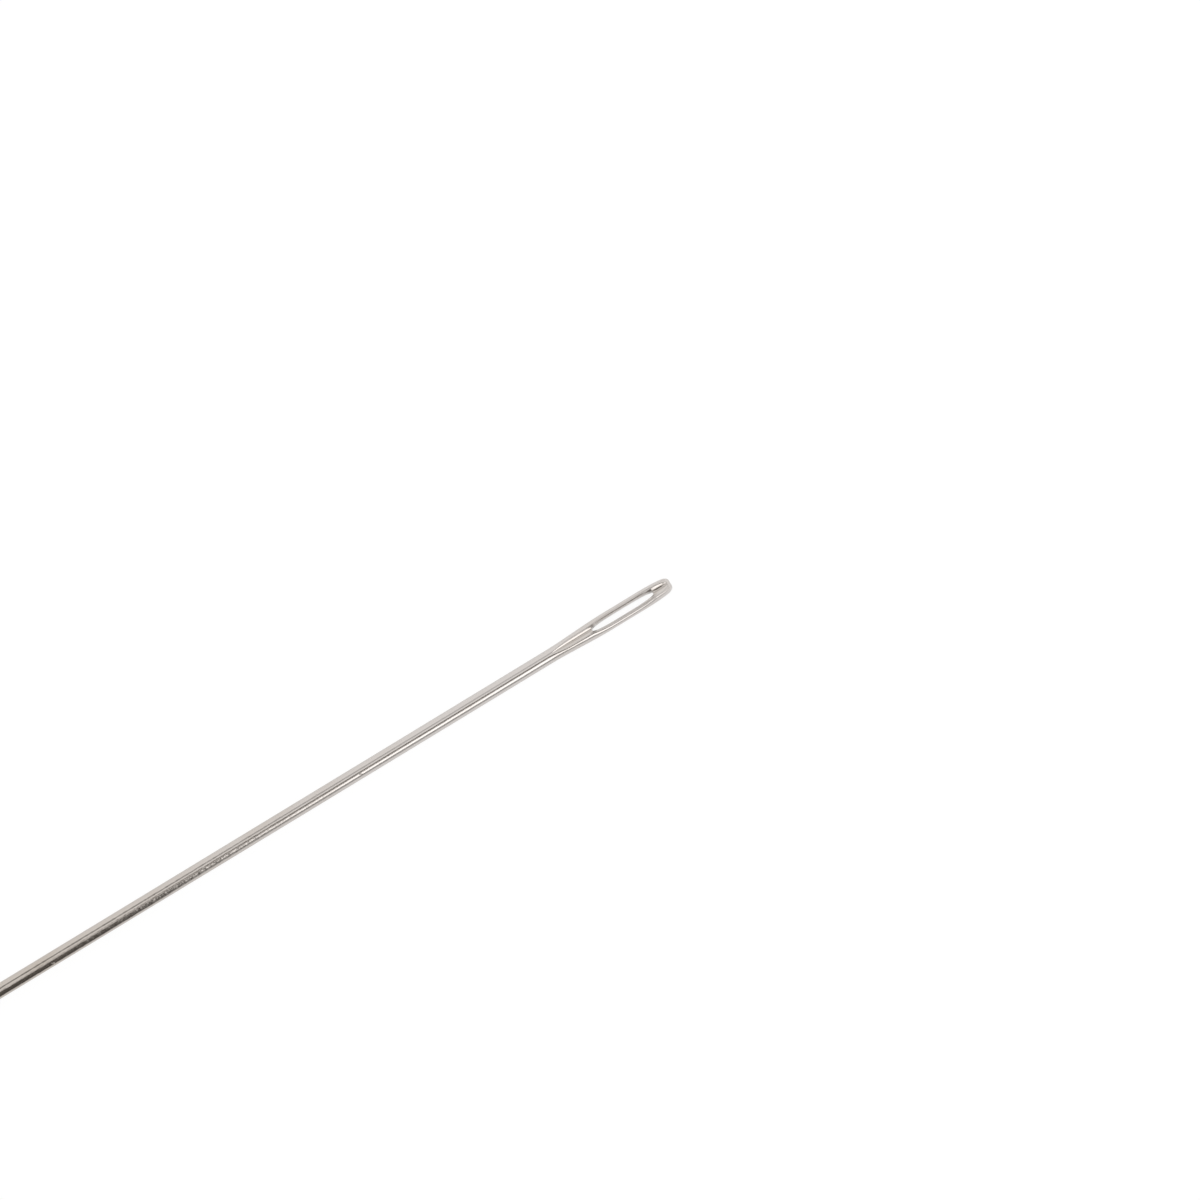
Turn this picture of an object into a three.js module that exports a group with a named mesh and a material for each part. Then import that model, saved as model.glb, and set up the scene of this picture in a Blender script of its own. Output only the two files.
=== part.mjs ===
// A tatting needle: one piece of nickel-plated steel wire with a long stamped eye and a blunt point.
// Millimetres, +Z up. The needle lies on z = 0 along X, with its eye end at +X, half its length on
// each side of x = 0, and the eye's axis upright.

import * as THREE from 'three';
import { mergeVertices } from 'three/addons/utils/BufferGeometryUtils.js';

// The wire
const overallLength = 130;
const shaftDiameter = 1.6;

// The head, which the dies press wider than the wire, and thinner beside the eye
const headWidth = 2.14;
const railThickness = 1.06; // of each side of the eye, at its middle
const neckBeyondEye = 5.7; // the wire begins to widen this far before it reaches the eye
const neckBesideEye = 2.0; // and is at its widest this far along the eye

// The eye, a long slot with squared ends
const eyeLength = 7.96;
const eyeWidth = 0.82;
const eyeFromEnd = 2.22; // from the end face to the nearer end of the eye
const eyeSquareness = 3.6; // 2 is an ellipse, and more is squarer
const eyeRimRadius = 0.06; // the rounding where the eye meets each face

// The gutters, a hollow in each face that leads the thread into the eye from both ends
const gutterWidth = 0.74; // from crest to crest, where the eye ends toward the shaft
const gutterDepth = 0.13;
const hollowWidth = 1.34; // the same two at the middle of the eye
const hollowDepth = 0.09;
const endGutterWidth = 1.14; // and where the eye ends toward the end face
const endGutterDepth = 0.17;
const hollowSquareness = 3; // how long the sizes at the middle last: 2 is a parabola
const gutterFloor = 1.35; // 1 is an even wave across the gutter, and more has a flatter floor
const gutterRunOut = 5.1; // from the eye toward the shaft
const gutterEndLand = 0.35; // plain metal between the end face and the gutter
const gutterTipSquareness = 2.5; // 2 closes it in an ellipse
const cheekRise = 3; // the flat tops of the cheeks grow to the crests over this much of the neck

// The eye end
const endFaceWidth = 0.5;
const endFaceThickness = 0.3;
const endCornerLength = 0.75; // the rounding between the sides and the end face
const endRoundLength = 0.7; // the same, seen from the side
const endShoulderWidth = 1.56; // the width that the head would narrow to without its round corners
const endShoulderLength = 4.5; // where that narrowing begins
const endShoulderPower = 2.75; // 2 is a parabola, and more leaves most of it to the end

// The blunt point
const pointLength = 12;
const pointNoseDiameter = 0.7;

// How finely the surface is divided
const shaftSides = 32; // a multiple of 4, so that the wire lies on a flat
const gutterColumns = 6;
const rimSteps = 3;
const eyeSteps = 26;

const shaftRadius = shaftDiameter / 2;
const eyeFarEnd = eyeFromEnd + eyeLength;
const eyeMiddle = eyeFromEnd + eyeLength / 2;
const gutterTip = eyeFarEnd + gutterRunOut;
const neckStart = eyeFarEnd + neckBeyondEye;
const neckEnd = eyeFarEnd - neckBesideEye;
const noseRadius = pointNoseDiameter / 2;

function clamp01(value) {
  return Math.min(Math.max(value, 0), 1);
}

function smooth(value) {
  const t = clamp01(value);
  return t * t * (3 - 2 * t);
}

// A quarter ellipse that climbs from 0 at the start of a run to 1 at its end, with an upright start.
function roundedRise(distance, run) {
  const left = 1 - clamp01(distance / run);
  return Math.sqrt(1 - left * left);
}

// Every place along the needle is its distance from the end face of the eye end.

// The blunt point: an even cone, closed by a round nose.
function pointShare(place) {
  const fromTip = overallLength - place;
  const cone = THREE.MathUtils.lerp(noseRadius, shaftRadius, clamp01(fromTip / pointLength));
  return (cone / shaftRadius) * roundedRise(fromTip, noseRadius);
}

// The wire widens into the head in a gentle S, and the head narrows again toward its end.
function halfWidth(place) {
  const widened = smooth((neckStart - place) / (neckStart - neckEnd));
  const shoulder = clamp01(1 - place / endShoulderLength);
  const narrowing = ((headWidth - endShoulderWidth) / 2) * shoulder ** endShoulderPower;
  const side = THREE.MathUtils.lerp(shaftRadius, headWidth / 2, widened) - narrowing;
  const face = endFaceWidth / 2;
  return (face + (side - face) * roundedRise(place, endCornerLength)) * pointShare(place);
}

// 1 at the ends of the eye and beyond, and falling to 0 at its middle.
function awayFromMiddle(place) {
  return clamp01(Math.abs(place - eyeMiddle) / (eyeLength / 2)) ** hollowSquareness;
}

// As thick as the wire, but for the rails beside the eye and the rounded end.
function halfThickness(place) {
  const pressed = THREE.MathUtils.lerp(railThickness / 2, shaftRadius, awayFromMiddle(place));
  const face = endFaceThickness / 2;
  return (face + (pressed - face) * roundedRise(place, endRoundLength)) * pointShare(place);
}

// Half the eye's width at a place, from a superellipse.
function eyeEdge(place) {
  const along = Math.abs(place - eyeMiddle) / (eyeLength / 2);
  if (along >= 1) return 0;
  return (eyeWidth / 2) * (1 - along ** eyeSquareness) ** (1 / eyeSquareness);
}

// How far a point of the plan lies outside the eye's edge, from the superellipse and its slope.
function distanceFromEye(place, side) {
  const halfLength = eyeLength / 2;
  const halfSpan = eyeWidth / 2;
  const along = Math.abs(place - eyeMiddle) / halfLength;
  const across = side / halfSpan;
  const level = (along ** eyeSquareness + across ** eyeSquareness) ** (1 / eyeSquareness);
  const slopeAlong = (along / level) ** (eyeSquareness - 1) / halfLength;
  const slopeAcross = (across / level) ** (eyeSquareness - 1) / halfSpan;
  return Math.max(level - 1, 0) / Math.hypot(slopeAlong, slopeAcross);
}

// From the centre line to where the crest of a cheek would be if the gutter never closed.
function openCrest(place) {
  const atEnd = place > eyeMiddle ? gutterWidth : endGutterWidth;
  return THREE.MathUtils.lerp(hollowWidth, atEnd, awayFromMiddle(place)) / 2;
}

// How much of the gutter is left beyond the eye: 1 at the eye, and closing in a blunt tip to 0.
function gutterShare(place) {
  const run = place > eyeMiddle ? gutterRunOut : eyeFromEnd - gutterEndLand;
  const beyond = Math.max(eyeFromEnd - place, place - eyeFarEnd, 0);
  return (1 - clamp01(beyond / run) ** gutterTipSquareness) ** (1 / gutterTipSquareness);
}

// The crest itself, where the gutter meets the outside.
function crest(place) {
  return openCrest(place) * gutterShare(place);
}

// Half the width of the flat top that the dies leave on the head, which fades out over the neck.
function flatTop(place) {
  return openCrest(place) * smooth((neckStart - place) / cheekRise);
}

// The rounded edge between a face and the wall of the eye.
function rimDrop(place, side) {
  return eyeRimRadius * (1 - roundedRise(distanceFromEye(place, side), eyeRimRadius));
}

// A quarter of the round section, from its flat top to its upright side, as corners of a polygon
// that stands on a flat and has its flats on the true circle.
function quarterRound() {
  const half = Math.PI / shaftSides;
  const corners = [[0, 1]];
  for (let angle = half; angle < Math.PI / 2; angle += 2 * half) {
    corners.push([Math.sin(angle) / Math.cos(half), Math.cos(angle) / Math.cos(half)]);
  }
  corners.push([1, 0]);
  return corners;
}

const roundCorners = quarterRound();

// Height of that polygon at a share of its half width.
function roundHeight(share) {
  const after = roundCorners.findIndex(([across]) => across >= share - 1e-9);
  if (after < 1) return 1;
  const [start, startHeight] = roundCorners[after - 1];
  const [end, endHeight] = roundCorners[after];
  return THREE.MathUtils.lerp(startHeight, endHeight, (share - start) / (end - start));
}

// Height of a face over the needle's axis, before the gutter is sunk into it: flat, then round.
function outsideHeight(place, side) {
  const flat = flatTop(place);
  const share = clamp01((side - flat) / (halfWidth(place) - flat));
  return halfThickness(place) * roundHeight(share);
}

// The same in the gutter, whose floor and walls are a wave that dies out at the crest. Its depth
// closes in step with its width, so that the walls keep their slope up to the tip.
function gutterHeight(place, side) {
  const atEnd = place > eyeMiddle ? gutterDepth : endGutterDepth;
  const depth = THREE.MathUtils.lerp(hollowDepth, atEnd, awayFromMiddle(place)) * gutterShare(place);
  const share = side / Math.max(crest(place), 1e-6);
  const wave = (1 + Math.cos(Math.PI * share ** gutterFloor)) / 2;
  return outsideHeight(place, side) - depth * wave - rimDrop(place, side);
}

// One quarter of the section at a place: from the eye's wall, or the centre line, out over the
// gutter to the crest, then round the outside to the widest point. Each entry is [across, height].
function sectionQuarter(place) {
  const edge = eyeEdge(place);
  const top = crest(place);
  const beyond = Math.max(eyeFromEnd - place, place - eyeFarEnd, 0);
  const evenness = smooth(beyond / (4 * eyeRimRadius));
  const quarter = [];
  for (let column = 0; column < gutterColumns; column += 1) {
    const even = column / gutterColumns;
    const rim = Math.min(eyeRimRadius, 0.85 * (top - edge));
    const onRim = rim * (1 - Math.cos((Math.PI / 2) * (column / rimSteps)));
    const pastRim = rim + (top - edge - rim) * ((column - rimSteps) / (gutterColumns - rimSteps));
    const clustered = edge + (column <= rimSteps ? onRim : pastRim);
    const side = THREE.MathUtils.lerp(clustered, top * even, evenness);
    quarter.push([side, gutterHeight(place, side)]);
  }
  for (const [across] of roundCorners) {
    const side = THREE.MathUtils.lerp(top, halfWidth(place), across);
    quarter.push([side, outsideHeight(place, side)]);
  }
  quarter[quarter.length - 1][1] = 0;
  return quarter;
}

// Places of the sections: close together where the shape turns quickly, and none on the plain shaft.
function sectionPlaces() {
  const places = [];
  const addRun = (start, end, steps, spacing) => {
    for (let step = 0; step <= steps; step += 1) {
      places.push(start + (end - start) * spacing(step / steps));
    }
  };
  const even = (t) => t;
  const closeAtStart = (t) => t * t;
  const closeAtEnd = (t) => 1 - (1 - t) ** 2;
  const eyeOutline = (t) => {
    const turn = Math.cos(Math.PI * t);
    return (1 - Math.sign(turn) * Math.abs(turn) ** (2 / eyeSquareness)) / 2;
  };
  const pointStart = overallLength - pointLength;
  const noseStart = overallLength - noseRadius;
  addRun(0, gutterEndLand, 5, closeAtStart);
  addRun(gutterEndLand, eyeFromEnd - eyeRimRadius, 7, closeAtStart);
  addRun(eyeFromEnd - eyeRimRadius, eyeFromEnd, rimSteps, closeAtEnd);
  addRun(eyeFromEnd, eyeFarEnd, eyeSteps, eyeOutline);
  addRun(eyeFarEnd, eyeFarEnd + eyeRimRadius, rimSteps, closeAtStart);
  addRun(eyeFarEnd + eyeRimRadius, gutterTip, 14, closeAtEnd);
  addRun(gutterTip, Math.max(neckStart, gutterTip), 2, even);
  addRun(pointStart, noseStart, 1, even);
  addRun(noseStart, overallLength, 5, closeAtEnd);
  return places.filter((place, index) => index === 0 || place - places[index - 1] > 1e-6);
}

// The skin is four quarters, each a grid of sections by columns, and the two upright walls of the
// eye. Where columns run together, at the end face, the gutter's tips, the bare shaft and the nose,
// the triangles that would have no area are left out.
function needleGeometry() {
  const places = sectionPlaces();
  const sections = places.map((place) => ({ place, quarter: sectionQuarter(place) }));
  const closing = sections[0].quarter.map(() => [0, 0]);
  sections.unshift({ place: 0, quarter: closing });
  const corners = [];

  const corner = (section, column, side, face) => {
    const [across, height] = section.quarter[column];
    return [overallLength / 2 - section.place, side * across, shaftRadius + face * height];
  };
  const same = (a, b) => a.every((value, axis) => value === b[axis]);
  const addTriangle = (a, b, c) => {
    if (!same(a, b) && !same(b, c) && !same(c, a)) corners.push(...a, ...b, ...c);
  };
  const addQuad = (a, b, c, d, turned) => {
    addTriangle(a, turned ? c : b, turned ? b : c);
    addTriangle(a, turned ? d : c, turned ? c : d);
  };

  for (let row = 0; row + 1 < sections.length; row += 1) {
    const near = sections[row];
    const far = sections[row + 1];
    for (const side of [1, -1]) {
      for (const face of [1, -1]) {
        for (let column = 0; column + 1 < closing.length; column += 1) {
          addQuad(
            corner(near, column, side, face),
            corner(near, column + 1, side, face),
            corner(far, column + 1, side, face),
            corner(far, column, side, face),
            side * face < 0,
          );
        }
      }
      const besideEye = near.place >= eyeFromEnd && far.place <= eyeFarEnd + 1e-6;
      if (besideEye) {
        addQuad(
          corner(near, 0, side, 1),
          corner(far, 0, side, 1),
          corner(far, 0, side, -1),
          corner(near, 0, side, -1),
          side < 0,
        );
      }
    }
  }

  const loose = new THREE.BufferGeometry();
  loose.setAttribute('position', new THREE.Float32BufferAttribute(corners, 3));
  const geometry = mergeVertices(loose, 1e-4);
  geometry.computeVertexNormals();
  return geometry;
}

const nickelPlate = new THREE.MeshStandardMaterial({ color: 0xd3cecb, roughness: 0.16, metalness: 1 });

const needle = new THREE.Mesh(needleGeometry(), nickelPlate);
needle.name = 'needle';

const tattingNeedle = new THREE.Group();
tattingNeedle.add(needle);

export default tattingNeedle;
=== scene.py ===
import math

import bpy
import numpy as np
from mathutils import Matrix, Vector


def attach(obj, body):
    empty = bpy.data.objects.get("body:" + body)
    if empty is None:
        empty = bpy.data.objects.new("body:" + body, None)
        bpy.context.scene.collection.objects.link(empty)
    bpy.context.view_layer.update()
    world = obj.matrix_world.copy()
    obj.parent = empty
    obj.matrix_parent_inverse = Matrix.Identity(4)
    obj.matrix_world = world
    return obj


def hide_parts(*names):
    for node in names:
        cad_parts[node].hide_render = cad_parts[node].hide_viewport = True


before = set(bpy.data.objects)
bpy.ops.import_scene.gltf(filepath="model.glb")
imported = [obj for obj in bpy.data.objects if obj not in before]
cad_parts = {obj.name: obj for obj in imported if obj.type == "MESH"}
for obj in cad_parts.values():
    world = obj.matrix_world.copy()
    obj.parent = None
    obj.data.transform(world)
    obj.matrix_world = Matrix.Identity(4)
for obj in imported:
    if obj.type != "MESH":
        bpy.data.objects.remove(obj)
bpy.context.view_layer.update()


# The tatting needle: one length of drawn steel wire, nickel plated all over and lying loose on the table.
# Dies press its eye end wider, with a gutter in each face, and the eye is punched through the web left
# between them. The other end is ground to a blunt point. Its sizes are in millimetres.

MM = 0.001
hair = 1e-6  # too little to see, and enough that nothing is divided by 0

needle_length = 130.0
wire_radius = 0.8

head_width = 2.14
rail_thickness = 1.06
neck_beyond_eye = 5.7
neck_beside_eye = 2.0

eye_length = 7.96
eye_width = 0.82
eye_from_end = 2.22
eye_squareness = 3.6
rim_radius = 0.06

gutter_width = 0.74
gutter_depth = 0.13
hollow_width = 1.34
hollow_depth = 0.09
end_gutter_width = 1.14
end_gutter_depth = 0.17
hollow_squareness = 3.0
gutter_floor = 1.35
gutter_run_out = 5.1
gutter_end_land = 0.35
gutter_tip_squareness = 2.5
cheek_rise = 3.0

end_face_width = 0.5
end_face_thickness = 0.3
end_corner_length = 0.75
end_round_length = 0.7
end_shoulder_width = 1.56
end_shoulder_length = 4.5
end_shoulder_power = 2.75

point_length = 12.0
nose_radius = 0.35

# Painted shade: a dark line painted at the foot of the far wall of the gutter, between the eye and the end,
# and painted shade that reaches a little way from the corners of the eye.
painted_shade_line_side = 0.115
painted_shade_line_width = 0.13
painted_shade_line_start = 0.8
painted_shade_line_start_fade = 0.3
painted_shade_line_end_fade = 0.5
painted_shade_reach = 0.26
painted_shade_at_shaft_end = 0.88
painted_shade_at_free_end = 0.55

eye_far_end = eye_from_end + eye_length
eye_middle = eye_from_end + eye_length / 2
gutter_tip = eye_far_end + gutter_run_out
neck_start = eye_far_end + neck_beyond_eye
neck_end = eye_far_end - neck_beside_eye


def smooth(value):
    """An S from 0 to 1: three squares less two cubes of the value, held between 0 and 1."""
    share = np.clip(value, 0, 1)
    return share * share * (3 - 2 * share)


def rounded_rise(distance, run):
    """A quarter ellipse that climbs from 0 at the start of a run to 1 at its end, with an upright start."""
    left = 1 - np.clip(distance / run, 0, 1)
    return np.sqrt(1 - left * left)


def point_share(place):
    """The size of the section as a share of the wire's: an even cone over the point, times a round nose."""
    from_tip = needle_length - place
    cone = nose_radius + (wire_radius - nose_radius) * np.clip(from_tip / point_length, 0, 1)
    return cone / wire_radius * rounded_rise(from_tip, nose_radius)


def half_width(place):
    """The wire's radius, widened in an S into the head, less a power of the share of the shoulder toward the
    end, with round corners."""
    widened = smooth((neck_start - place) / (neck_start - neck_end))
    shoulder = np.clip(1 - place / end_shoulder_length, 0, 1)
    narrowing = (head_width - end_shoulder_width) / 2 * shoulder ** end_shoulder_power
    side = wire_radius + (head_width / 2 - wire_radius) * widened - narrowing
    face = end_face_width / 2
    return (face + (side - face) * rounded_rise(place, end_corner_length)) * point_share(place)


def away_from_middle(place):
    """1 at the ends of the eye and beyond, and falling by a power of the distance to 0 at its middle."""
    return np.clip(np.abs(place - eye_middle) / (eye_length / 2), 0, 1) ** hollow_squareness


def half_thickness(place):
    """The wire's radius, less in the rails beside the eye, rounded off at the eye end and drawn in at the
    point."""
    pressed = rail_thickness / 2 + (wire_radius - rail_thickness / 2) * away_from_middle(place)
    face = end_face_thickness / 2
    return (face + (pressed - face) * rounded_rise(place, end_round_length)) * point_share(place)


def eye_edge(place):
    """Half the width of the eye, from a superellipse: the nth root of 1 less the nth power of the share. A
    little more is taken off, so that the eye is shut at its very ends whatever the rounding."""
    rounding = 1e-12
    along = np.abs(place - eye_middle) / (eye_length / 2)
    left = np.clip(1 - along ** eye_squareness - rounding, 0, 1)
    return eye_width / 2 * left ** (1 / eye_squareness)


def distance_from_eye(place, side):
    """How far a point of the plan is from the eye's edge: the superellipse's level less 1, over its slope."""
    along = np.abs(place - eye_middle) / (eye_length / 2)
    across = np.abs(side) / (eye_width / 2)
    level = (along ** eye_squareness + across ** eye_squareness) ** (1 / eye_squareness)
    level = np.maximum(level, hair)
    slope_along = (along / level) ** (eye_squareness - 1) / (eye_length / 2)
    slope_across = (across / level) ** (eye_squareness - 1) / (eye_width / 2)
    return np.maximum(level - 1, 0) / np.hypot(slope_along, slope_across)


def open_crest(place):
    """Half the width from crest to crest before the gutter closes, bowed out beside the eye."""
    at_end = np.where(place > eye_middle, gutter_width, end_gutter_width)
    return (hollow_width + (at_end - hollow_width) * away_from_middle(place)) / 2


def gutter_share(place):
    """What is left of the gutter beyond the eye: a superellipse that closes at the tip of each run."""
    run = np.where(place > eye_middle, gutter_run_out, eye_from_end - gutter_end_land)
    beyond = np.maximum(np.maximum(eye_from_end - place, place - eye_far_end), 0)
    left = 1 - np.clip(beyond / run, 0, 1) ** gutter_tip_squareness
    return left ** (1 / gutter_tip_squareness)


def centre_depth(place):
    """The gutter's depth on the centre line: its own beside the eye and beyond each end of it, and closing in
    step with the gutter's width."""
    at_end = np.where(place > eye_middle, gutter_depth, end_gutter_depth)
    return (hollow_depth + (at_end - hollow_depth) * away_from_middle(place)) * gutter_share(place)


def gutter_wave(place, side):
    """Half of 1 plus the cosine across the gutter, of a power of the share so that the floor is flatter."""
    crest = open_crest(place) * gutter_share(place)
    share = np.clip(side / np.maximum(crest, hair), 0, 1)
    return (1 + np.cos(math.pi * share ** gutter_floor)) / 2


def outside_height(place, side):
    """Height of a face over the axis before the gutter is sunk into it: flat over the cheeks, which fade in
    over the neck in an S, and then a quarter ellipse down to the widest point."""
    flat = open_crest(place) * smooth((neck_start - place) / cheek_rise)
    share = np.clip((side - flat) / np.maximum(half_width(place) - flat, hair), 0, 1)
    return half_thickness(place) * np.sqrt(1 - share * share)


def needle_quarter(place, around):
    """A quarter of the skin, as distance from the centre line and height over the axis. Around runs from 0
    at the eye's wall or the centre line to 1 at the widest point. Its first part crosses the gutter: the
    height is the outside's less the depth times the wave, less the eye's round rim. The rest goes from the
    crest to the side by the sine of an angle. The gutter's part shrinks with its width."""
    most_in_gutter = 0.42
    evened_within = 4 * rim_radius
    most_rim = 0.85  # of the metal between the eye and the crest

    crest = open_crest(place) * gutter_share(place)
    edge = eye_edge(place)
    width = half_width(place)

    gutter_part = most_in_gutter * np.clip(crest / (gutter_width / 2), 0, 1)
    in_gutter = around < gutter_part
    over_gutter = np.clip(around / np.maximum(gutter_part, hair), 0, 1)
    outside = np.clip((around - gutter_part) / (1 - gutter_part), 0, 1)

    beyond = np.maximum(np.maximum(eye_from_end - place, place - eye_far_end), 0)
    evenness = smooth(beyond / evened_within)
    rim = np.minimum(rim_radius, most_rim * (crest - edge))
    on_rim = rim * (1 - np.cos(math.pi * np.clip(over_gutter, 0, 0.5)))
    past_rim = (crest - edge - rim) * np.clip(2 * over_gutter - 1, 0, 1)
    clustered = edge + on_rim + past_rim
    gutter_across = clustered + (crest * over_gutter - clustered) * evenness
    rim_drop = rim_radius * (1 - rounded_rise(distance_from_eye(place, gutter_across), rim_radius))
    sunk = centre_depth(place) * gutter_wave(place, gutter_across) + rim_drop

    across = np.where(in_gutter, gutter_across, crest + (width - crest) * np.sin(outside * math.pi / 2))
    height = outside_height(place, across) - np.where(in_gutter, sunk, 0)
    across[:, -1] = width[:, 0]
    height[:, -1] = 0
    return across, height


def section_places():
    """Distances of the sections from the end face: squares of even steps where a run turns quickly, powers
    of a cosine along the eye's superellipse, a power of even steps along the gutter, and elsewhere even."""
    rim_sections, land_sections, eye_sections, gutter_sections = 19, 33, 113, 90
    neck_sections, shaft_sections, cone_sections = 7, 70, 24
    closing_power = 1.5
    nearest = 1e-7

    slow = np.linspace(0, 1, rim_sections)
    turn = np.cos(math.pi * np.linspace(0, 1, eye_sections))
    outline = (1 - np.sign(turn) * np.abs(turn) ** (2 / eye_squareness)) / 2
    gutter_start = eye_far_end + rim_radius
    cone_start = needle_length - point_length
    runs = [
        gutter_end_land * slow ** 2,
        np.linspace(gutter_end_land, eye_from_end - rim_radius, land_sections),
        eye_from_end - rim_radius * (1 - slow) ** 2,
        eye_from_end + eye_length * outline,
        eye_far_end + rim_radius * slow ** 2,
        gutter_tip - (gutter_tip - gutter_start) * np.linspace(1, 0, gutter_sections) ** closing_power,
        np.linspace(gutter_tip, neck_start, neck_sections),
        np.linspace(neck_start, cone_start, shaft_sections),
        np.linspace(cone_start, needle_length - nose_radius, cone_sections),
        needle_length - nose_radius * (1 - slow) ** 2,
    ]
    places = np.concatenate(runs)
    return places[np.concatenate([[True], np.diff(places) > nearest])]


def needle_skin():
    """Corners and four-sided faces of the whole skin: the quarter in its four mirror images, the flat end
    face as a row of centre points, and the eye's upright walls. Corners that fall together become one."""
    columns_around = 45
    wall_rows = 9
    parts_per_mm = 1e6  # corners closer than one such part are the same

    places = section_places()
    around = np.linspace(0, 1, columns_around)
    across, height = needle_quarter(places[:, None], around[None, :])
    along = np.repeat(needle_length / 2 - places[:, None], around.size, axis=1)
    across = np.vstack([np.zeros(around.size), across])
    height = np.vstack([np.zeros(around.size), height])
    along = np.vstack([along[:1], along])

    points, faces = [], []
    count = 0

    def add_grid(x, y, z, turned):
        """Adds a grid of corners, and a face between each four of them, turned over where that is asked."""
        nonlocal count
        rows, columns = x.shape
        index = count + np.arange(rows * columns).reshape(rows, columns)
        quads = np.stack([index[:-1, :-1], index[:-1, 1:], index[1:, 1:], index[1:, :-1]], axis=-1)
        quads = quads.reshape(-1, 4)
        points.append(np.stack([x, y, z], axis=-1).reshape(-1, 3))
        faces.append(quads[:, ::-1] if turned else quads)
        count += rows * columns

    for side in (1, -1):
        for face in (1, -1):
            add_grid(along, side * across, wire_radius + face * height, side * face < 0)
        inside = (places > eye_from_end - hair) & (places < eye_far_end + hair)
        rows = np.flatnonzero(inside) + 1
        level = np.linspace(1, -1, wall_rows)[None, :]
        add_grid(
            np.repeat(along[rows, :1], wall_rows, axis=1),
            side * np.repeat(across[rows, :1], wall_rows, axis=1),
            wire_radius + height[rows, :1] * level,
            side > 0,
        )

    points = np.concatenate(points)
    faces = np.concatenate(faces)
    keys = np.round(points * parts_per_mm).astype(np.int64)
    _, first, merged = np.unique(keys, axis=0, return_index=True, return_inverse=True)
    return points[first], merged.reshape(-1)[faces]


def gutter_and_painted_shade(points):
    """How deep in the gutter each corner is, as the gutter's share times its wave, and how much painted shade
    it takes: the product of S curves at the ends and the sides of the eye, or that of the painted shade line
    at the foot of the gutter's far wall if it is more."""
    end_starts, end_run = 0.86, 0.08  # as shares of half the eye's length
    side_starts, side_run = 0.5, 0.3  # as shares of half the eye's width

    place = needle_length / 2 - points[:, 0]
    side = np.abs(points[:, 1])
    sunk = gutter_share(place) * gutter_wave(place, side)

    # Painted shade near the corners of the eye, darker at the shaft end.
    at_end = smooth((np.abs(place - eye_middle) / (eye_length / 2) - end_starts) / end_run)
    at_side = smooth((side / (eye_width / 2) - side_starts) / side_run)
    in_corner = at_end * at_side * (1 - smooth(distance_from_eye(place, side) / painted_shade_reach))
    in_corner = in_corner * np.where(place > eye_middle, painted_shade_at_shaft_end, painted_shade_at_free_end)

    # Painted shade along the crease at the foot of the far wall of the end gutter, on the upper face only.
    in_line = 1 - smooth(np.abs(points[:, 1] - painted_shade_line_side) / painted_shade_line_width)
    in_line = in_line * smooth((place - painted_shade_line_start) / painted_shade_line_start_fade)
    in_line = in_line * smooth((eye_from_end - place) / painted_shade_line_end_fade)
    in_line = in_line * (points[:, 2] > wire_radius)
    return sunk, np.maximum(in_corner, in_line)


def needle_mesh():
    """The skin as a mesh. A face whose corners fell together is a triangle, or nothing if fewer are left."""
    points, quads = needle_skin()
    following = np.roll(quads, -1, axis=1)
    kept = quads != following
    sides = kept.sum(axis=1)
    loops = quads[(sides >= 3)[:, None] & kept]
    totals = sides[sides >= 3]

    mesh = bpy.data.meshes.new("tatting_needle")
    mesh.vertices.add(len(points))
    mesh.vertices.foreach_set("co", (points * MM).astype(np.float32).ravel())
    mesh.loops.add(len(loops))
    mesh.loops.foreach_set("vertex_index", loops.astype(np.int32))
    mesh.polygons.add(len(totals))
    mesh.polygons.foreach_set("loop_start", (np.cumsum(totals) - totals).astype(np.int32))
    mesh.polygons.foreach_set("loop_total", totals.astype(np.int32))
    mesh.polygons.foreach_set("use_smooth", np.ones(len(totals), bool))

    sunk, painted_shade = gutter_and_painted_shade(points)
    for name, values in (("hollow", sunk), ("painted_shade", painted_shade)):
        attribute = mesh.attributes.new(name, "FLOAT", "POINT")
        attribute.data.foreach_set("value", values.astype(np.float32))
    mesh.update(calc_edges=True)
    mesh.validate()
    return mesh


class Field:
    """A socket of a node tree. Arithmetic on it adds Math nodes, so that a pattern reads as a formula."""

    def __init__(self, tree, socket=None):
        self.tree = tree
        self.socket = socket

    def node(self, kind, settings=(), sockets=(), output=0):
        """Adds a node of a type, sets its settings, then its sockets, and gives one of its outputs."""
        made = self.tree.nodes.new(kind)
        for name, value in dict(settings).items():
            setattr(made, name, value)
        for name, value in dict(sockets).items():
            if isinstance(value, Field):
                self.tree.links.new(value.socket, made.inputs[name])
            else:
                made.inputs[name].default_value = value
        return Field(self.tree, made.outputs[output] if len(made.outputs) else None)

    def math(self, operation, first, second=0.0):
        """A Math node of an operation on one or two values."""
        return self.node("ShaderNodeMath", {"operation": operation}, {0: first, 1: second})

    def __add__(self, other):
        return self.math("ADD", self, other)

    def __radd__(self, other):
        return self.math("ADD", other, self)

    def __sub__(self, other):
        return self.math("SUBTRACT", self, other)

    def __rsub__(self, other):
        return self.math("SUBTRACT", other, self)

    def __mul__(self, other):
        return self.math("MULTIPLY", self, other)

    def __rmul__(self, other):
        return self.math("MULTIPLY", other, self)

    def between(self, low, high):
        """0 where the field is at low, 1 where it is at high, and an S between."""
        settings = {"interpolation_type": "SMOOTHSTEP", "clamp": True}
        return self.node("ShaderNodeMapRange", settings, {"Value": self, "From Min": low, "From Max": high})


def new_material(name):
    """An empty node material, and a field to build its nodes from."""
    material = bpy.data.materials.new(name)
    material.use_nodes = True
    material.node_tree.nodes.clear()
    return material, Field(material.node_tree)


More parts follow.
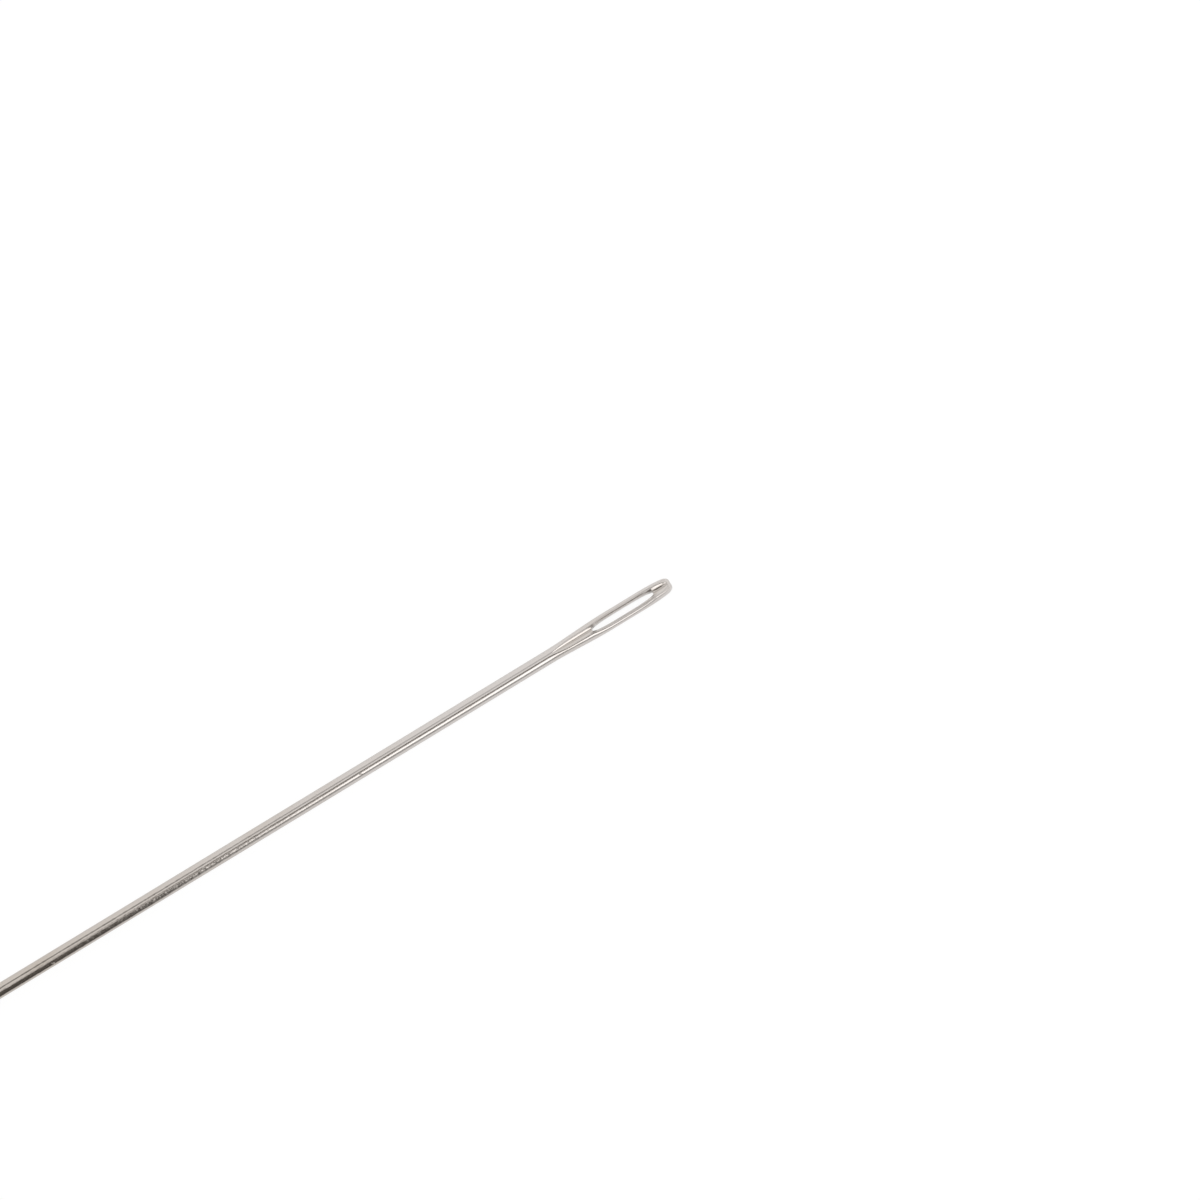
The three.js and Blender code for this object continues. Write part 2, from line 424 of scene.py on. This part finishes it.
def nickel_plate():
    """Bright nickel over drawn steel. Fine lines run along the wire, the plating has a faint orange peel with
    a few pits and two short nicks, the ground point has lines around it, the gutters and the shaft where it
    is held are duller and warmer, and shade painted by the eye makes it dark there. Places and heights are in
    millimetres."""
    clean = (0.712, 0.674, 0.65, 1)
    warm = (0.58, 0.522, 0.466, 1)
    dark = (0.12, 0.1, 0.085, 1)
    polish = 0.1
    least_peel, more_peel = 0.004, 0.012
    peel_grows = (26, 6)
    line_height = 0.001
    pit_depth = 0.004
    nick_depth = 0.03
    nick_half_length, nick_half_width = 0.14, 0.03
    nick_end, nick_edge = 0.1, 0.06
    hand_wear_grows = (40, -30)
    point_begins = (-52.5, -54.5)

    material, start = new_material("nickel_plate")
    place = start.node("ShaderNodeTexCoord", output="Object")

    def stretched(x, y, z):
        """The place in millimetres, times a number for each axis."""
        scale = (x / MM, y / MM, z / MM)
        return start.node("ShaderNodeVectorMath", {"operation": "MULTIPLY"}, {0: place, 1: scale})

    def noise(vector, detail, roughness=0.5):
        """Noise whose cells are one unit of the vector wide."""
        sockets = {"Vector": vector, "Scale": 1.0, "Detail": detail, "Roughness": roughness}
        return start.node("ShaderNodeTexNoise", {}, sockets)

    def short_nick(from_middle, around, turn):
        """1 in a short straight nick in the shaft's near side, and 0 beyond its edges. Around is how far down
        that side it is from the top, and turn is how far it slants from the wire's length, in degrees. Its
        own axes mix the wire's length with the way down the side, by the cosine and the sine of the turn."""
        down, level = math.sin(math.radians(around)), math.cos(math.radians(around))
        slant, straight = math.sin(math.radians(turn)), math.cos(math.radians(turn))
        spot = (from_middle, -wire_radius * down, wire_radius + wire_radius * level)
        lengthwise = (straight, -slant * level, -slant * down)
        crosswise = (-slant, -straight * level, -straight * down)
        settings = {"operation": "SUBTRACT"}
        away = start.node("ShaderNodeVectorMath", settings, {0: stretched(1, 1, 1), 1: spot})

        def offset(axis):
            """How far a place is from the spot along an axis, either way."""
            settings = {"operation": "DOT_PRODUCT"}
            dot = start.node("ShaderNodeVectorMath", settings, {0: away, 1: axis}, output=1)
            return start.math("ABSOLUTE", dot)

        long = offset(lengthwise).between(nick_half_length + nick_end, nick_half_length)
        wide = offset(crosswise).between(nick_half_width + nick_edge, nick_half_width)
        return long * wide

    drawn_lines = noise(stretched(0.05, 7.0, 7.0), 3.0, 0.6)
    orange_peel = noise(stretched(1.8, 2.4, 2.4), 1.0)
    pits = noise(stretched(1.7, 2.6, 2.6), 1.0).between(0.74, 0.8)
    handling = noise(stretched(0.16, 0.5, 0.5), 3.0)
    hollow = start.node("ShaderNodeAttribute", {"attribute_name": "hollow"}, output="Fac")
    painted_shade = start.node("ShaderNodeAttribute", {"attribute_name": "painted_shade"}, output="Fac")

    along = start.node("ShaderNodeSeparateXYZ", {}, {0: place}) * (1 / MM)
    on_point = along.between(*point_begins)
    ground_lines = noise(stretched(14.0, 0.7, 0.7), 2.0) * on_point

    dark_nick = short_nick(from_middle=24.6, around=29.5, turn=40.1)
    clean_nick = short_nick(from_middle=-15.4, around=45.7, turn=25.6)

    peel = orange_peel * (least_peel + along.between(*peel_grows) * more_peel)
    relief = drawn_lines * line_height + peel - pits * pit_depth + ground_lines * line_height
    height = relief - (dark_nick + clean_nick) * nick_depth
    normal = start.node("ShaderNodeBump", {}, {"Strength": 1.0, "Distance": MM, "Height": height})

    held = along.between(*hand_wear_grows)
    handled = handling.between(0.45, 0.75)
    streaked = drawn_lines.between(0.5, 0.8)
    worn = hollow * 0.4 + held * 0.7 + handled * 0.25 + streaked * 0.15
    plating = start.node("ShaderNodeMix", {"data_type": "RGBA"}, {0: worn, 6: clean, 7: warm}, output=2)
    # Painted shade by the eye and along the gutter's crease darkens the colour here, together with the dark
    # nick's own colour.
    painted_shade_and_nicks = {0: painted_shade + dark_nick * 0.5, 6: plating, 7: dark}
    color = start.node("ShaderNodeMix", {"data_type": "RGBA"}, painted_shade_and_nicks, output=2)
    roughness = polish + (drawn_lines + handling + hollow + on_point) * 0.05 + painted_shade * 0.15

    sockets = {"Base Color": color, "Metallic": 1.0, "Roughness": roughness, "Normal": normal}
    metal = start.node("ShaderNodeBsdfPrincipled", {}, sockets)
    start.node("ShaderNodeOutputMaterial", {}, {"Surface": metal})
    return material


needle = bpy.data.objects.new("tatting_needle", needle_mesh())
bpy.context.scene.collection.objects.link(needle)
needle.data.materials.append(nickel_plate())
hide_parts("needle")
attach(needle, "root")


# The table: a wide sheet of smooth white card that the needle lies on. It is the picture's background, so
# the camera and the reflections see it nearly white, and it still takes the needle's shadow. Its sizes and
# the studio's are in metres.

def white_card():
    """White card with a sheen: a dull white, with plain white mixed in for what the camera and the metal see.
    A reflection of the unlit end of the room is painted into it for the metal only, beside the needle's near
    side toward its point, so the metal sees that part of it dark."""
    paper_white = (0.86, 0.86, 0.86, 1)
    painted_reflection_tone = (0.09, 0.082, 0.075, 1)
    grain_size, grain_height = 1 / 900, 0.00002
    darkens_along = (0.008, -0.006)
    darkens_across = (-0.003, -0.0075)
    whiteness = 1.07
    share_seen, share_mirrored, share_unlit = 0.87, 0.5, 0.48

    material, start = new_material("white_card")
    place = start.node("ShaderNodeTexCoord", output="Object")
    grain = start.node("ShaderNodeTexNoise", {}, {"Vector": place, "Scale": 1 / grain_size, "Detail": 3.0})
    bump = start.node("ShaderNodeBump", {}, {"Strength": 0.2, "Distance": grain_height, "Height": grain})
    sockets = {"Base Color": paper_white, "Roughness": 0.3, "Specular IOR Level": 0.5, "Normal": bump}
    paper = start.node("ShaderNodeBsdfPrincipled", {}, sockets)

    seen = start.node("ShaderNodeLightPath", output="Is Camera Ray")
    mirrored = start.node("ShaderNodeLightPath", output="Is Glossy Ray")
    through = start.node("ShaderNodeLightPath", output="Is Transmission Ray")
    along = start.node("ShaderNodeSeparateXYZ", {}, {0: place})
    across = start.node("ShaderNodeSeparateXYZ", {}, {0: place}, output=1)
    # Painted reflection: for glossy rays only, the card turns dark beside the needle's near side toward its
    # point.
    unlit = mirrored * along.between(*darkens_along) * across.between(*darkens_across)
    tones = {0: unlit, 6: (1, 1, 1, 1), 7: painted_reflection_tone}
    tone = start.node("ShaderNodeMix", {"data_type": "RGBA"}, tones, output=2)
    white = start.node("ShaderNodeEmission", {}, {"Color": tone, "Strength": whiteness})
    share = seen * share_seen + (mirrored + through) * share_mirrored + unlit * share_unlit
    mixed = start.node("ShaderNodeMixShader", {}, {0: share, 1: paper, 2: white})
    start.node("ShaderNodeOutputMaterial", {}, {"Surface": mixed})
    return material


table_mesh = bpy.data.meshes.new("table")
table_half = 4.0
table_mesh.from_pydata(
    [(x * table_half, y * table_half, 0) for x, y in ((-1, -1), (1, -1), (1, 1), (-1, 1))],
    [],
    [(0, 1, 2, 3)],
)
table = bpy.data.objects.new("table", table_mesh)
bpy.context.scene.collection.objects.link(table)
table.data.materials.append(white_card())


# The studio: an even white room, with one large soft panel on the near side, the dark camera stand beside
# it and dimmer strips above. Beyond the soft panel's end the near side of the room is unlit.

def panel(name, angle, half_angle, distance, ends, radiance, fade=None):
    """A flat panel along the needle that faces it. Angle is measured from straight up toward the near side,
    and half_angle is half of what the panel spans, both in degrees. A fade gives two places along it and the
    radiance it has up to the first of them. From there it changes in an S, to its own at the second."""
    lamp_white = (1.0, 0.995, 0.985)
    dim_grey = (1.0, 0.92, 0.84)
    dim_below = 0.3

    tilt = math.radians(angle)
    middle = np.array([0, -math.sin(tilt), math.cos(tilt)]) * distance
    across = np.array([0, math.cos(tilt), math.sin(tilt)]) * distance * math.tan(math.radians(half_angle))
    corners = [
        middle + across * up + np.array([x, 0, 0])
        for x, up in ((ends[0], -1), (ends[1], -1), (ends[1], 1), (ends[0], 1))
    ]
    mesh = bpy.data.meshes.new(name)
    mesh.from_pydata([tuple(corner) for corner in corners], [], [(0, 1, 2, 3)])
    card = bpy.data.objects.new(name, mesh)
    bpy.context.scene.collection.objects.link(card)

    material, start = new_material(name)

    def tone(level):
        """The colour for a radiance, as a share of the panel's own: lamp white, or warmer where it is dim."""
        tint = lamp_white if level > dim_below else dim_grey
        return tuple(channel * level / radiance for channel in tint) + (1,)

    color = tone(radiance)
    if fade:
        fade_from, fade_to, start_radiance = fade
        place = start.node("ShaderNodeTexCoord", output="Object")
        faded = start.node("ShaderNodeSeparateXYZ", {}, {0: place}).between(fade_from, fade_to)
        tones = {0: faded, 6: tone(start_radiance), 7: color}
        color = start.node("ShaderNodeMix", {"data_type": "RGBA"}, tones, output=2)
    light = start.node("ShaderNodeEmission", {}, {"Color": color, "Strength": radiance})
    start.node("ShaderNodeOutputMaterial", {}, {"Surface": light})
    card.data.materials.append(material)
    card.visible_camera = False


panel(
    "soft_panel", angle=48.5, half_angle=14, distance=0.4,
    ends=(-0.08, 0.6), radiance=1.63, fade=(-0.05, -0.012, 0.095),
)
panel(
    "room_side", angle=83.5, half_angle=17, distance=0.45,
    ends=(-0.08, 0.6), radiance=0.42, fade=(-0.064, -0.034, 0.085),
)
panel("unlit_room", angle=61, half_angle=32, distance=1.1, ends=(-2.2, 0), radiance=0.085)
panel(
    "camera_stand", angle=15.5, half_angle=9, distance=0.62,
    ends=(-0.12, 0.6), radiance=0.2, fade=(-0.12, -0.055, 0.85),
)
panel(
    "seam_between_lights", angle=-25, half_angle=10, distance=1.0,
    ends=(-1.2, 1.2), radiance=0.62, fade=(-0.3, 0.05, 0.1),
)
panel("dim_above", angle=-8.5, half_angle=12, distance=1.05, ends=(-1.2, 1.2), radiance=0.91)

room_radiance = 0.93
world = bpy.data.worlds.new("white_room")
bpy.context.scene.world = world
world.use_nodes = True
world.node_tree.nodes.clear()
room = Field(world.node_tree)
room_tint = (1.0, 0.995, 0.985, 1)
room_light = room.node("ShaderNodeBackground", {}, {"Color": room_tint, "Strength": room_radiance})
room_white = room.node("ShaderNodeBackground", {}, {"Color": (1, 1, 1, 1), "Strength": 1.0})
room_seen = room.node("ShaderNodeLightPath", output="Is Camera Ray")
room_mixed = room.node("ShaderNodeMixShader", {}, {0: room_seen, 1: room_light, 2: room_white})
room.node("ShaderNodeOutputWorld", {}, {"Surface": room_mixed})


# The camera looks nearly straight down, square to the needle's length and 10 degrees from its near side,
# because the needle in the picture has rolled that much. The picture is 1200 pixels square.

picture_pixels = 1200
pixels_per_mm = 9.0
head_end_pixel = (670.4, 582.95)
needle_angle = math.radians(31.31)
near_side_tilt = math.radians(10)
camera_distance = 0.5

toward = Vector((0, -math.sin(near_side_tilt), math.cos(near_side_tilt)))
far_side = Vector((0, math.cos(near_side_tilt), math.sin(near_side_tilt)))
lengthwise = Vector((1, 0, 0))
right = math.cos(needle_angle) * lengthwise - math.sin(needle_angle) * far_side
up = math.sin(needle_angle) * lengthwise + math.cos(needle_angle) * far_side
head_end = Vector((needle_length / 2, 0, wire_radius)) * MM
from_middle_right = (head_end_pixel[0] - picture_pixels / 2) / pixels_per_mm * MM
from_middle_up = (picture_pixels / 2 - head_end_pixel[1]) / pixels_per_mm * MM
aim = head_end - from_middle_right * right - from_middle_up * up

lens = bpy.data.cameras.new("camera")
lens.sensor_width = 36
lens.lens = lens.sensor_width * camera_distance / (picture_pixels / pixels_per_mm * MM)
lens.clip_start = 0.01
lens.clip_end = 20
camera = bpy.data.objects.new("camera", lens)
bpy.context.scene.collection.objects.link(camera)
turned = Matrix((right, up, toward)).transposed().to_4x4()
camera.matrix_world = Matrix.Translation(aim + camera_distance * toward) @ turned
bpy.context.scene.camera = camera
bpy.context.scene.view_settings.view_transform = "Standard"
